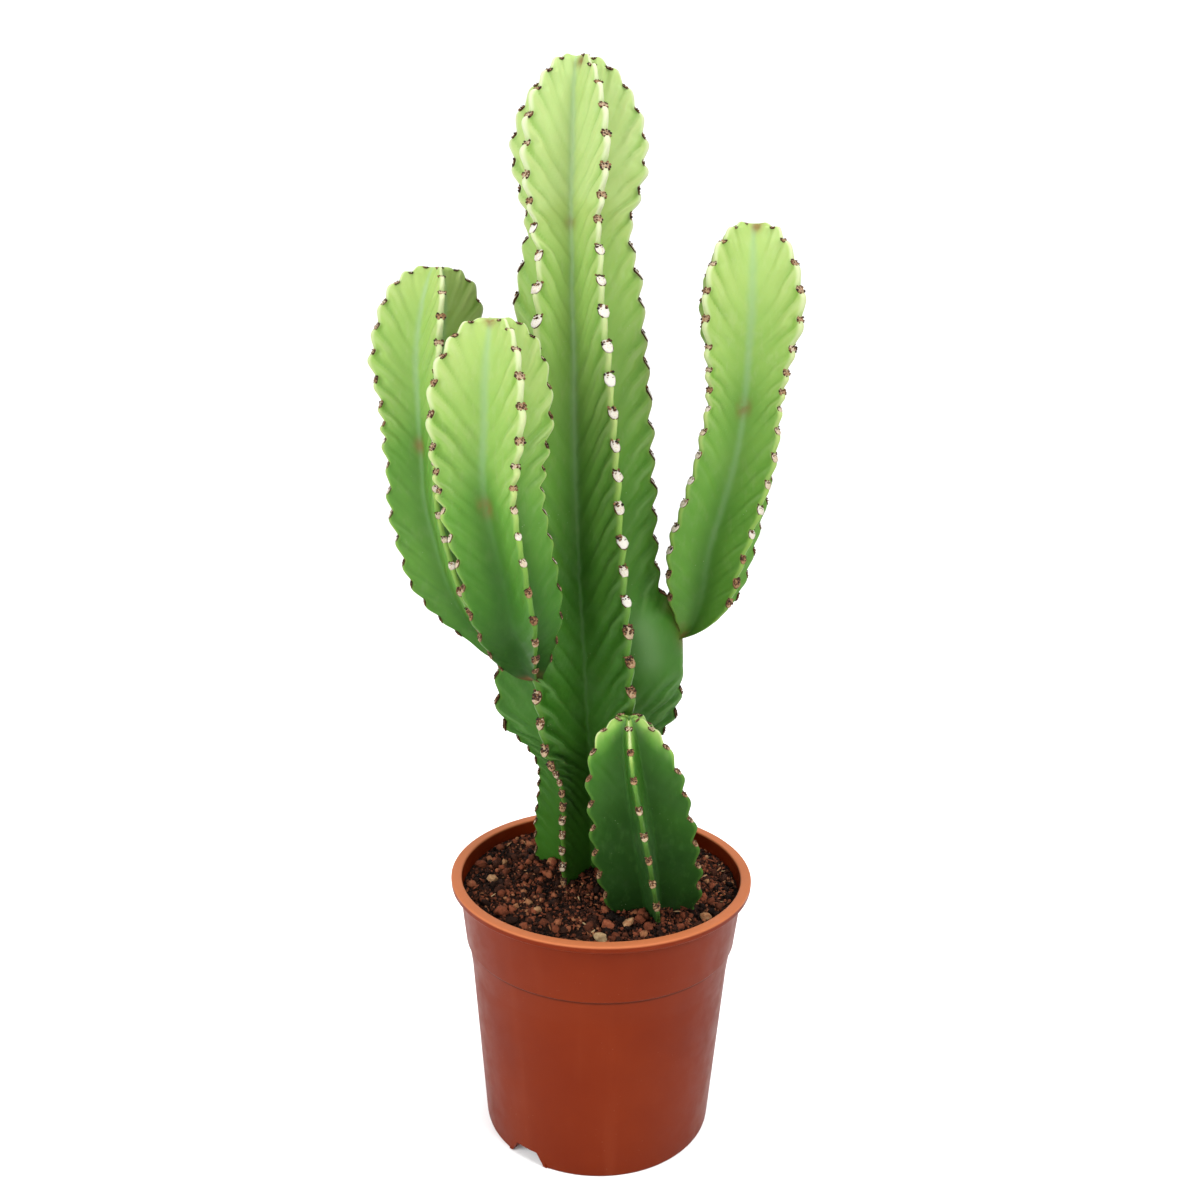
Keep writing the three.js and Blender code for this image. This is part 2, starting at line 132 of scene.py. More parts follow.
# rows: x, y, z, crest radius, angle of the front right rib. Ribs count from that one towards +X.
# uneven: rib, z, reach below and above, extra radius as a share, extra turn, extra thickness as a share.
# shield_tone and shield_size: how pale and large the areoles' shields are. Below the height old_below
# they are browner, with more dried bits; above young_above they have no grown shield yet.
# spacing, age, lobes, pleats: tables of (z, value) for the spacing of areoles along a crest, the skin's age
# from 0, new, to 1, old, the depth of the lobes between areoles and the depth of the pleats on the faces.
# smooth_crests: rib, z and reach of a stretch with no lobes or areoles.
# The two spot lists: x, y, z and reach of a painted highlight, a pale sheen of light painted on the skin,
# and of a corky patch.
# scar_bands: z, reach and strength of a corky ring in the grooves.
STEMS = {
    "trunk": dict(
        ribs=5,
        rows=[
            (-7, 21, 105, 14, 45), (-7, 21, 125, 24, 45), (-7.5, 20, 143, 30, 45),
            (-8, 18.5, 165, 31.5, 45), (-8.5, 15.5, 192, 29.5, 45), (-9, 12.8, 207, 29.5, 43),
            (-9.1, 11.5, 216, 33.5, 42), (-9.2, 10.5, 226, 39, 40.5), (-9.8, 9, 240, 42, 38),
            (-10.3, 8, 257, 43, 36), (-11.5, 6.5, 288, 43, 34.5), (-13.2, 5, 320, 42.5, 33.5),
            (-15.5, 4, 374, 40.8, 31), (-16.3, 3, 415, 38.3, 28), (-18.8, 3, 466, 34.8, 25),
            (-18.9, 3, 485, 31.5, 25), (-18.9, 3, 502, 28.5, 25), (-18.8, 3, 514, 32, 25),
            (-18.2, 3, 533, 35, 25), (-18.3, 3, 547, 34, 25), (-18.5, 3, 559, 29.8, 25),
            (-18.5, 3, 569, 23.5, 25), (-18.5, 3, 577, 15.5, 25), (-18.5, 3, 580.5, 8, 25),
            (-18.5, 3, 579, 3, 25),
        ],
        uneven=[
            (0, 185, 60, 45, -0.15, 0, 0), (1, 268, 55, 38, 0.33, 0, 0.2), (1, 279, 34, 24, 0, 0, 1.7),
            (3, 250, 28, 32, 0.26, 0, 0),
            (3, 545, 25, 25, 0.1, 0, 0), (4, 472, 45, 22, -0.08, 12, 0),
        ],
        shield_tone=0.95,
        old_below=312,
        young_above=503,
        shield_size=1.0,
        spacing=[(140, 10), (200, 8), (214, 7), (230, 15), (300, 16.5), (470, 15.5), (502, 12), (525, 14),
                 (560, 13), (583, 8)],
        age=[(143, 0.81), (210, 0.81), (245, 0.8), (270, 0.8), (320, 0.71), (374, 0.5), (415, 0.35),
             (466, 0.22), (500, 0.14), (514, 0.03), (583, 0)],
        lobes=[(143, 1.9), (212, 1.5), (230, 3.6), (480, 3.4), (540, 3.7), (583, 2.4)],
        pleats=[(143, 0.3), (205, 0.9), (222, 2.3), (262, 2.2), (330, 1.7), (400, 1.3), (480, 1.2),
                (530, 1.4), (583, 0.8)],
        smooth_crests=[(1, 280, 24)],
        # Painted highlight: pale patches on the bulge under the right arm.
        highlight_spots=[(22, -2, 295, 8), (26, -2, 284, 9), (29, 0, 272, 8)],
        scar_bands=[(503, 3, 0.5)],
        scar_spots=[(43, 24, 284, 5.5), (40, 23, 293, 5.5), (36.5, 22, 301, 5.5), (-16, -4, 577, 3)],
    ),
    "arm_right": dict(
        ribs=4,
        rows=[
            (40, 20, 283, 3, 30), (47.5, 22, 287, 7, 30), (51.5, 20, 296, 15.5, 30),
            (54.5, 18, 309, 23.5, 30), (57.5, 14, 337, 29, 31), (63.3, 10, 364, 29.2, 34),
            (67.9, 5, 391, 28, 37), (70, 2.5, 415, 26.3, 38), (70.5, 0, 437, 29.5, 39),
            (70.4, -2, 458, 34.3, 41), (70, -3, 473, 33.2, 41), (69.8, -3, 487, 28, 41),
            (69.7, -3, 497, 20.5, 41), (69.8, -3, 503, 12, 41), (69.9, -3, 504, 4, 41),
        ],
        uneven=[],
        shield_tone=0.8,
        old_below=335,
        young_above=415,
        shield_size=0.78,
        spacing=[(287, 13), (320, 14.5), (395, 13), (415, 8.5), (440, 14), (480, 14), (504, 8)],
        age=[(287, 0.65), (337, 0.53), (391, 0.44), (410, 0.38), (430, 0.25), (470, 0.12), (504, 0.07)],
        lobes=[(287, 1.5), (330, 2.7), (400, 2.6), (450, 3.6), (504, 2.4)],
        pleats=[(287, 0.3), (330, 0.5), (400, 0.7), (450, 1.5), (504, 0.8)],
        smooth_crests=[(rib, 283, 20) for rib in range(4)],
        highlight_spots=[],
        scar_bands=[(413, 4, 0.8)],
        scar_spots=[(43, 22, 286, 3.2), (41, 19, 293, 3.2), (38.5, 17, 300, 3.2), (71, -8, 502, 3)],
    ),
    "arm_front_left": dict(
        ribs=4,
        rows=[
            (-35, -25, 271, 3, 25), (-38.5, -31, 275, 7, 25), (-39.5, -40, 281, 10.5, 25),
            (-41, -47.5, 289, 15, 25), (-42.3, -55, 302, 19.8, 25), (-44.5, -61, 320, 24.4, 25),
            (-48.7, -65, 345, 25, 25), (-54.7, -65.5, 373, 26, 27), (-56, -66, 390, 29, 30),
            (-55.3, -65.5, 408, 31.5, 31), (-55, -65, 423, 31.2, 31), (-54.5, -65, 437, 27.8, 31),
            (-54, -65, 449, 20.5, 31), (-54, -65, 455.5, 12.5, 31), (-54, -65, 457, 4, 31),
        ],
        uneven=[],
        shield_tone=0.8,
        old_below=335,
        young_above=378,
        shield_size=0.72,
        spacing=[(275, 12), (310, 14.5), (355, 13), (375, 9), (400, 14.5), (430, 14), (458, 8)],
        age=[(275, 1), (290, 0.95), (320, 0.76), (350, 0.62), (368, 0.52), (392, 0.3), (425, 0.13),
             (458, 0.05)],
        lobes=[(275, 0.8), (310, 2.2), (360, 2.6), (400, 3.6), (458, 2.4)],
        pleats=[(275, 0.2), (320, 0.35), (365, 0.6), (405, 1.7), (458, 0.9)],
        smooth_crests=[(rib, 271, 16) for rib in range(4)],
        highlight_spots=[],
        scar_bands=[(371, 4, 0.8)],
        scar_spots=[(-38, -34, 273, 6), (-55, -70, 456, 3)],
    ),
    "arm_back_left": dict(
        ribs=4,
        rows=[
            (-51, 19.5, 268, 3, 10), (-58, 21.5, 271, 8, 10), (-65, 23, 280, 12.5, 10),
            (-74, 25, 293, 20, 10), (-82, 24.5, 311, 26.3, 10), (-88, 24, 331, 26.5, 10),
            (-94, 22, 358, 25, 10), (-96.5, 21, 388, 24.5, 14), (-97.2, 20, 412, 26, 19),
            (-97.3, 20, 434, 29, 20), (-96, 20, 450, 29, 20), (-94, 20, 465, 25.5, 20),
            (-92.5, 20, 475, 19, 20), (-91.5, 20, 480.5, 11, 20), (-91.3, 20, 481, 4, 20),
        ],
        uneven=[],
        shield_tone=0.8,
        old_below=325,
        young_above=398,
        shield_size=0.75,
        spacing=[(271, 12), (310, 14), (375, 13), (392, 9), (415, 14), (450, 14), (482, 8)],
        age=[(271, 0.75), (331, 0.54), (370, 0.5), (388, 0.44), (410, 0.28), (440, 0.18), (482, 0.09)],
        lobes=[(271, 1.4), (320, 2.8), (390, 2.6), (430, 3.6), (482, 2.4)],
        pleats=[(271, 0.3), (331, 0.5), (390, 0.8), (430, 1.6), (482, 0.9)],
        smooth_crests=[(rib, 268, 17) for rib in range(4)],
        highlight_spots=[],
        scar_bands=[(389, 4, 0.8)],
        scar_spots=[(-59, 21.5, 272, 5)],
    ),
    "offset": dict(
        ribs=5,
        rows=[
            (28, -20, 112, 12, 8), (27.8, -21.5, 126, 20, 8), (27.5, -23, 143, 25.5, 8),
            (25.5, -27, 162, 28.6, 6), (23, -31, 180, 29.6, 4.5), (20.5, -34.5, 198, 28.9, 3),
            (17.8, -37, 216, 27.3, 1), (15.3, -38.8, 233, 24, -1), (14, -39.5, 245, 19.5, -2),
            (13.2, -40, 253, 13, -3), (12.8, -40, 257, 6.5, -3), (12.7, -40, 255, 3, -3),
        ],
        uneven=[(3, 175, 60, 60, -0.22, 0, 0)],
        shield_tone=0.85,
        old_below=260,
        young_above=252,
        shield_size=0.66,
        spacing=[(143, 15.5), (210, 15), (240, 13.5), (257, 9)],
        age=[(143, 1), (185, 0.98), (220, 0.88), (240, 0.76), (250, 0.45), (257, 0.2)],
        lobes=[(143, 3.2), (200, 3.7), (240, 3), (257, 2)],
        pleats=[(143, 0.25), (230, 0.3), (257, 0.3)],
        smooth_crests=[],
        highlight_spots=[],
        scar_bands=[],
        scar_spots=[],
    ),
}


# ---- Numbers ----

def table(pairs, z):
    """The value of a table of (z, value) pairs at heights z."""
    heights, values = zip(*pairs)
    return np.interp(z, heights, values)


def smooth(x, low, high):
    """0 below low, 1 above high and smooth between."""
    t = np.clip((x - low) / (high - low), 0, 1)
    return t * t * (3 - 2 * t)


def catmull_rom(rows, place):
    """The rows' values at places between them, on a smooth curve through every row."""
    i = np.minimum(place.astype(int), len(rows) - 2)
    t = (place - i)[:, None]
    p0 = rows[np.maximum(i - 1, 0)]
    p1 = rows[i]
    p2 = rows[i + 1]
    p3 = rows[np.minimum(i + 2, len(rows) - 1)]
    linear = (p2 - p0) * t
    square = (2 * p0 - 5 * p1 + 4 * p2 - p3) * t ** 2
    cube = (3 * p1 - p0 - 3 * p2 + p3) * t ** 3
    return (2 * p1 + linear + square + cube) / 2


def ripples(points, scale, seed, octaves=3):
    """Smooth repeatable noise, about -1 to 1: waves in random directions, finer and weaker by octave."""
    random = np.random.default_rng(seed)
    total = np.zeros(points.shape[:-1])
    for octave in range(octaves):
        for _ in range(5):
            direction = random.normal(size=3)
            direction *= 2 * math.pi * 2 ** octave / scale / np.linalg.norm(direction)
            total += 0.5 ** octave * np.sin(points @ direction + random.uniform(0, 2 * math.pi))
    return total / 3


def unit(vectors):
    return vectors / np.maximum(np.linalg.norm(vectors, axis=-1, keepdims=True), 1e-9)


# ---- Meshes ----

def make_object(name, points_mm, faces, material, attributes=None, smooth_shaded=True):
    """A mesh object from points in millimetres, with one number per vertex for each attribute."""
    mesh = bpy.data.meshes.new(name)
    mesh.from_pydata((np.asarray(points_mm) * MM).tolist(), [], faces)
    for key, values in (attributes or {}).items():
        layer = mesh.attributes.new(key, "FLOAT", "POINT")
        layer.data.foreach_set("value", np.asarray(values, np.float32).ravel())
    mesh.polygons.foreach_set("use_smooth", [smooth_shaded] * len(mesh.polygons))
    mesh.materials.append(material)
    mesh.update()
    obj = bpy.data.objects.new(name, mesh)
    bpy.context.scene.collection.objects.link(obj)
    return obj


def add_piece(obj, slot, *nodes):
    """obj rides on the plant's one body and stands for the named nodes, which it hides; slot is not used.
    """
    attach(obj, "root")
    if nodes:
        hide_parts(*nodes)
    return obj


def tube_faces(rings, count, first=0):
    """Quads between rings of count points, with a fan of triangles on the last points at each end."""
    faces = []
    for ring in range(rings - 1):
        low = first + ring * count
        for i in range(count):
            j = (i + 1) % count
            faces.append((low + i, low + j, low + count + j, low + count + i))
    bottom = first + rings * count
    top = bottom + 1
    last = first + (rings - 1) * count
    for i in range(count):
        j = (i + 1) % count
        faces.append((bottom, first + j, first + i))
        faces.append((top, last + i, last + j))
    return faces


def joined(parts):
    """One list of points and faces, and joined attributes, from (points, faces, attributes) parts."""
    points = []
    faces = []
    attributes = {}
    offset = 0
    for part_points, part_faces, part_attributes in parts:
        points.append(part_points)
        faces.extend(tuple(i + offset for i in face) for face in part_faces)
        for key, values in part_attributes.items():
            attributes.setdefault(key, []).append(values)
        offset += len(part_points)
    return np.concatenate(points), faces, {k: np.concatenate(v) for k, v in attributes.items()}


def ball(subdivisions):
    """The points and triangles of a unit ball."""
    shape = bmesh.new()
    bmesh.ops.create_icosphere(shape, subdivisions=subdivisions, radius=1)
    points = np.array([v.co[:] for v in shape.verts])
    faces = [tuple(v.index for v in f.verts) for f in shape.faces]
    shape.free()
    return points, faces


# ---- Shader nodes ----

def seen(red, green, blue):
    """The surface colour that looks like these 0 to 255 screen values under the studio lights."""
    def linear(value):
        share = value / 255
        return share / 12.92 if share <= 0.04045 else ((share + 0.055) / 1.055) ** 2.4
    return tuple(linear(value) / LIGHT_LEVEL for value in (red, green, blue)) + (1.0,)


class Shader:
    """Short calls that add nodes to one material; inputs are constants or other nodes' outputs."""

    def __init__(self, name, **principled):
        self.material = bpy.data.materials.new(name)
        self.material.use_nodes = True
        self.tree = self.material.node_tree
        self.surface = self.tree.nodes["Principled BSDF"]
        for socket, value in principled.items():
            self.put(self.surface, socket.replace("_", " "), value)

    def put(self, node, socket, value):
        if isinstance(value, bpy.types.NodeSocket):
            self.tree.links.new(value, node.inputs[socket])
        else:
            node.inputs[socket].default_value = value

    def node(self, kind, inputs=None, **settings):
        node = self.tree.nodes.new(kind)
        for key, value in settings.items():
            setattr(node, key, value)
        for socket, value in (inputs or {}).items():
            self.put(node, socket, value)
        return node

    def attribute(self, name):
        return self.node("ShaderNodeAttribute", attribute_name=name).outputs["Fac"]

    def math(self, operation, a, b, clamp=False):
        return self.node("ShaderNodeMath", {0: a, 1: b}, operation=operation, use_clamp=clamp).outputs[0]

    def times(self, a, b, clamp=False):
        return self.math("MULTIPLY", a, b, clamp)

    def blurred(self, value, scale, amount):
        """A value with a noise added, of an amount on either side of zero."""
        centred = self.math("SUBTRACT", self.noise(scale), 0.5)
        return self.math("ADD", value, self.math("MULTIPLY", centred, amount))

    def noise(self, scale, detail=3.0, roughness=0.55, stretch=None):
        """Noise in object space; scale is in cells per metre."""
        place = self.node("ShaderNodeTexCoord").outputs["Object"]
        if stretch:
            place = self.node("ShaderNodeMapping", {"Vector": place, "Scale": stretch}).outputs[0]
        inputs = {"Vector": place, "Scale": scale, "Detail": detail, "Roughness": roughness}
        return self.node("ShaderNodeTexNoise", inputs).outputs["Fac"]

    def cells(self, scale):
        """Distance from the nearest of many scattered points, with scale of them per metre."""
        place = self.node("ShaderNodeTexCoord").outputs["Object"]
        inputs = {"Vector": place, "Scale": scale}
        return self.node("ShaderNodeTexVoronoi", inputs).outputs["Distance"]

    def ramp(self, factor, *stops):
        """A colour ramp through (position, colour) stops."""
        node = self.node("ShaderNodeValToRGB", {"Fac": factor})
        elements = node.color_ramp.elements
        while len(elements) < len(stops):
            elements.new(0.5)
        for element, (position, colour) in zip(elements, stops):
            element.position = position
            element.color = colour
        return node.outputs["Color"]

    def spread(self, value, low, high, to_low=0.0, to_high=1.0):
        """The value from low to high, mapped smoothly to the other two numbers."""
        inputs = {"Value": value, 1: low, 2: high, 3: to_low, 4: to_high}
        return self.node("ShaderNodeMapRange", inputs, interpolation_type="SMOOTHSTEP").outputs[0]

    def mix(self, factor, a, b, blend="MIX"):
        node = self.node("ShaderNodeMix", data_type="RGBA", blend_type=blend)
        self.put(node, 0, factor)
        self.put(node, 6, a)
        self.put(node, 7, b)
        return node.outputs[2]

    def bump(self, height, strength, distance_mm, normal=None):
        inputs = {"Height": height, "Strength": strength, "Distance": distance_mm * MM}
        if normal is not None:
            inputs["Normal"] = normal
        return self.node("ShaderNodeBump", inputs).outputs[0]

    def finish(self, **inputs):
        for socket, value in inputs.items():
            self.put(self.surface, socket.replace("_", " "), value)
        return self.material


# ---- Materials ----

def skin_greens(s, age, flank, ridge):
    """The skin's greens by age, with painted shade in its creases and towards its grooves, painted
    highlights on its folds and a paler crest.
    """
    green = s.ramp(
        s.blurred(age, 24.0, 0.24),
        (0.0, seen(206, 235, 146)), (0.08, seen(192, 223, 124)), (0.2, seen(168, 210, 104)),
        (0.48, seen(114, 172, 66)), (0.75, seen(72, 130, 38)), (1.0, seen(38, 80, 21)),
    )
    near_crest = s.spread(flank, 0.6, 0.12, 0.12, 0.85)
    # Painted shade: darker creases beside each areole, near the crest.
    crease_shade = s.times(s.spread(ridge, 0.55, 0.0), near_crest)
    green = s.mix(crease_shade, green, s.mix(1.0, green, (0.6, 0.76, 0.46, 1), "MULTIPLY"))
    # Painted highlight: paler folds near the crest, standing in for a sheen of light on them.
    fold = s.times(s.spread(ridge, 0.7, 1.0, 0.0, 0.55), near_crest)
    fold_highlight_colour = s.ramp(age, (0.0, seen(222, 238, 156)), (0.5, seen(150, 192, 116)),
                         (1.0, seen(92, 142, 70)))
    green = s.mix(fold, green, fold_highlight_colour)
    veins = s.spread(s.noise(260.0, 4.0, stretch=(1.0, 1.0, 0.45)), 0.5, 0.72, 0.0, 0.2)
    green = s.mix(veins, green, s.ramp(age, (0.0, seen(222, 240, 168)), (0.8, seen(84, 134, 60))))
    # Painted shade: older skin darker towards the grooves, where shade falls.
    groove_shade = s.times(s.spread(flank, 0.4, 0.95, 0.0, 0.75), s.spread(age, 0.25, 0.6))
    groove_shade = s.times(groove_shade, s.spread(age, 0.9, 0.72, 0.1, 0.85))
    green = s.mix(groove_shade, green, s.mix(1.0, green, (0.42, 0.5, 0.44, 1), "MULTIPLY"))
    crest_colour = s.ramp(age, (0.0, seen(240, 248, 204)), (0.3, seen(206, 226, 140)),
                          (0.5, seen(160, 200, 90)), (0.75, seen(116, 164, 62)), (1.0, seen(92, 136, 46)))
    crest_line = s.times(s.spread(flank, 0.12, 0.03), s.spread(ridge, 0.0, 0.9, 0.45, 0.95))
    crest_line = s.times(crest_line, s.spread(age, 0.4, 0.75, 1.0, 0.55))
    green = s.mix(crest_line, green, crest_colour)
    line = s.times(s.spread(flank, 0.86, 1.0), s.spread(age, 0.25, 0.75, 0.5, 0.0))
    return s.mix(line, green, s.ramp(age, (0.0, seen(176, 214, 160)), (1.0, seen(110, 150, 100))))


def skin_marks(s, green, scar):
    """The bloom, painted highlight spots, flecks and corky scars laid over the skin's greens."""
    bloom = s.spread(s.noise(60.0, 4.0), 0.5, 0.85, 0.0, 0.07)
    green = s.mix(bloom, green, seen(170, 196, 150))
    # Painted highlight: the pale attribute paints a sheen of light on the bulge under the right arm.
    green = s.mix(s.times(s.attribute("pale"), 0.7), green, seen(156, 198, 134))
    flecks = s.times(s.spread(s.cells(420.0), 0.16, 0.06), s.spread(s.noise(55.0), 0.56, 0.7))
    green = s.mix(s.times(flecks, 0.4), green, seen(206, 220, 180))
    corky = s.times(scar, s.spread(s.noise(120.0, 4.0), 0.25, 0.5), clamp=True)
    return s.mix(s.times(corky, 0.8), green, seen(146, 100, 62))


def skin_material():
    """Waxy green skin that pales and yellows towards new growth, with corky scars."""
    s = Shader("euphorbia_skin", Specular_IOR_Level=0.09)
    age = s.attribute("age")
    scar = s.attribute("scar")
    green = skin_greens(s, age, s.attribute("flank"), s.attribute("ridge"))
    fine = s.bump(s.noise(900.0, 4.0), 0.2, 0.12)
    surface = s.bump(s.noise(160.0, 3.0), 0.25, 0.4, fine)
    roughness = s.spread(s.noise(70.0, 3.0), 0.3, 0.7, 0.38, 0.5)
    roughness = s.math("MAXIMUM", roughness, s.times(scar, 0.9))
    roughness = s.math("MAXIMUM", roughness, s.spread(age, 0.85, 0.94, 0.0, 0.85))
    return s.finish(Base_Color=skin_marks(s, green, scar), Roughness=roughness, Normal=surface,
                    Subsurface_Weight=0.06, Subsurface_Scale=0.003)


def areole_material():
    """Corky spine shields, dried leaf scars and spines: dark brown through tan to chalky white."""
    s = Shader("areole", Roughness=0.85, Specular_IOR_Level=0.2)
    colour = s.ramp(
        s.blurred(s.attribute("tone"), 1500.0, 0.5),
        (0.0, seen(34, 20, 14)), (0.25, seen(104, 64, 36)), (0.5, seen(178, 134, 92)),
        (0.75, seen(222, 202, 170)), (0.95, seen(255, 250, 238)),
    )
    return s.finish(Base_Color=colour, Normal=s.bump(s.noise(1300.0, 3.0), 0.7, 0.3))


def pot_material():
    """Terracotta-coloured moulded polypropylene, satin, with faint flow marks and dust, a painted highlight
    along the top of its lip and painted shade under the collar's step.
    """
    s = Shader("terracotta_plastic", Specular_IOR_Level=0.05)
    blotches = s.noise(18.0, 4.0)
    colour = s.ramp(blotches, (0.3, seen(132, 42, 8)), (0.7, seen(142, 50, 14)))
    streaks = s.noise(60.0, 3.0, stretch=(1.0, 1.0, 0.06))
    colour = s.mix(s.spread(streaks, 0.5, 0.8, 0.0, 0.12), colour, seen(186, 98, 66))
    place = s.node("ShaderNodeTexCoord").outputs["Object"]
    height = s.node("ShaderNodeSeparateXYZ", {0: place}).outputs["Z"]
    # Painted highlight: the top of the lip is painted paler where the light falls on it.
    lip_top_highlight = s.spread(height, (POT_HEIGHT - 1.6) * MM, (POT_HEIGHT - 0.3) * MM, 0.0, 0.95)
    colour = s.mix(lip_top_highlight, colour, seen(226, 134, 86))
    # Painted shade: a dark band just under the collar's step, where shade falls.
    below_step = s.spread(height, (COLLAR_BOTTOM[1] - 2.4) * MM, (COLLAR_BOTTOM[1] - 0.9) * MM)
    under_edge = s.spread(height, (COLLAR_BOTTOM[1] + 0.2) * MM, (COLLAR_BOTTOM[1] - 0.3) * MM)
    collar_step_shade = s.times(below_step, under_edge)
    colour = s.mix(s.times(collar_step_shade, 0.6), colour, seen(52, 20, 8))
    low = s.spread(height, 0.05, 0.0)
    dust = s.times(s.spread(s.cells(330.0), 0.13, 0.04), s.spread(s.noise(34.0), 0.5, 0.72))
    dust = s.times(dust, s.math("ADD", s.times(low, 0.55), 0.2))
    colour = s.mix(dust, colour, seen(206, 168, 146))
    roughness = s.spread(s.noise(90.0, 4.0), 0.3, 0.7, 0.36, 0.48)
    return s.finish(Base_Color=colour, Roughness=roughness, Normal=s.bump(s.noise(500.0, 3.0), 0.12, 0.1))


def grain_material(name, *stops):
    """Loose grains whose colour runs through the stops by each grain's own tone."""
    s = Shader(name, Roughness=0.92, Specular_IOR_Level=0.1)
    tone = s.blurred(s.attribute("tone"), 700.0, 0.3)
    return s.finish(Base_Color=s.ramp(tone, *stops), Normal=s.bump(s.noise(1400.0, 4.0), 0.8, 0.4))


def peat_material():
    s = Shader("peat", Roughness=0.95, Specular_IOR_Level=0.1)
    colour = s.ramp(s.noise(420.0, 5.0, 0.7), (0.3, seen(24, 15, 11)), (0.55, seen(54, 33, 24)),
                    (0.75, seen(96, 56, 40)))
    return s.finish(Base_Color=colour, Normal=s.bump(s.noise(600.0, 5.0, 0.7), 1.0, 1.2))


GRAIN_STOPS = (
    (0.0, seen(26, 16, 11)), (0.3, seen(76, 42, 28)), (0.5, seen(124, 65, 42)),
    (0.68, seen(158, 86, 58)), (0.84, seen(182, 124, 84)), (1.0, seen(212, 182, 136)),
)


# ---- Stems ----

def even_places(rows, step):
    """Places along the rows whose rings lie a step apart, measured along the crests."""
    dense = np.linspace(0, len(rows) - 1, 60 * (len(rows) - 1) + 1)
    values = catmull_rom(rows, dense)
    moves = np.diff(values[:, :4], axis=0)
    length = np.concatenate([[0], np.cumsum(np.linalg.norm(moves, axis=1))])
    start = np.interp(BURIED, values[:, 2], length) if values[0, 2] < BURIED else 0.0
    count = int((length[-1] - start) / step)
    return np.interp(np.linspace(start, length[-1], count + 1), length, dense)


def flank_section(ribs):
    """Shares (v, out, half) along a rib's flank from crest to groove, on a curve through RIB_FLANK."""
    points = np.array(RIB_FLANK[ribs], float)
    spin = 2 * math.pi / ribs
    mirror = np.array([[math.cos(spin), math.sin(spin)], [math.sin(spin), -math.cos(spin)]])
    before = points[1] * (1, -1)
    after = mirror @ points[-2]
    padded = np.vstack([before, points, after])
    dense = catmull_rom(padded, np.linspace(1, len(padded) - 2, 400))
    length = np.concatenate([[0], np.cumsum(np.linalg.norm(np.diff(dense, axis=0), axis=1))])
    length /= length[-1]
    v = np.linspace(0, 1, FLANK_STEPS + 1) ** 1.15
    return v, np.interp(v, length, dense[:, 0]), np.interp(v, length, dense[:, 1])


def rib_unevenness(stem, rib, z):
    """Extra radius, turn and thickness of one rib at heights z."""
    extra = np.zeros((3, len(z)))
    for which, centre, below, above, *amounts in stem["uneven"]:
        if which == rib:
            away = (z - centre) / np.where(z < centre, below, above)
            extra += np.outer(amounts, np.exp(-away ** 4))
    return extra


def toothed_share(stem, rib, z):
    """How much of its lobes and areoles one rib has at heights z."""
    share = np.ones(len(z))
    for which, centre, reach in stem["smooth_crests"]:
        if which == rib:
            share -= np.exp(-((z - centre) / reach) ** 4)
    return share


def areole_steps(stem, crest_length, z, random):
    """Where the areoles of one rib lie along its crest, from below its foot to past its tip."""
    spacing = table(stem["spacing"], z)
    place = -random.uniform(0.2, 0.9) * spacing[0] - 80
    steps = [place]
    while place < crest_length[-1] + 90:
        gap = np.interp(place, crest_length, spacing)
        place += gap * random.uniform(0.92, 1.08)
        steps.append(place)
    return np.array(steps)


def lobe(phase):
    """The crest's outline between two areoles: a slow rise and a quick fall just under the next one."""
    return np.sin(math.pi * np.clip(phase, 0, 1) ** 1.8) ** 0.85


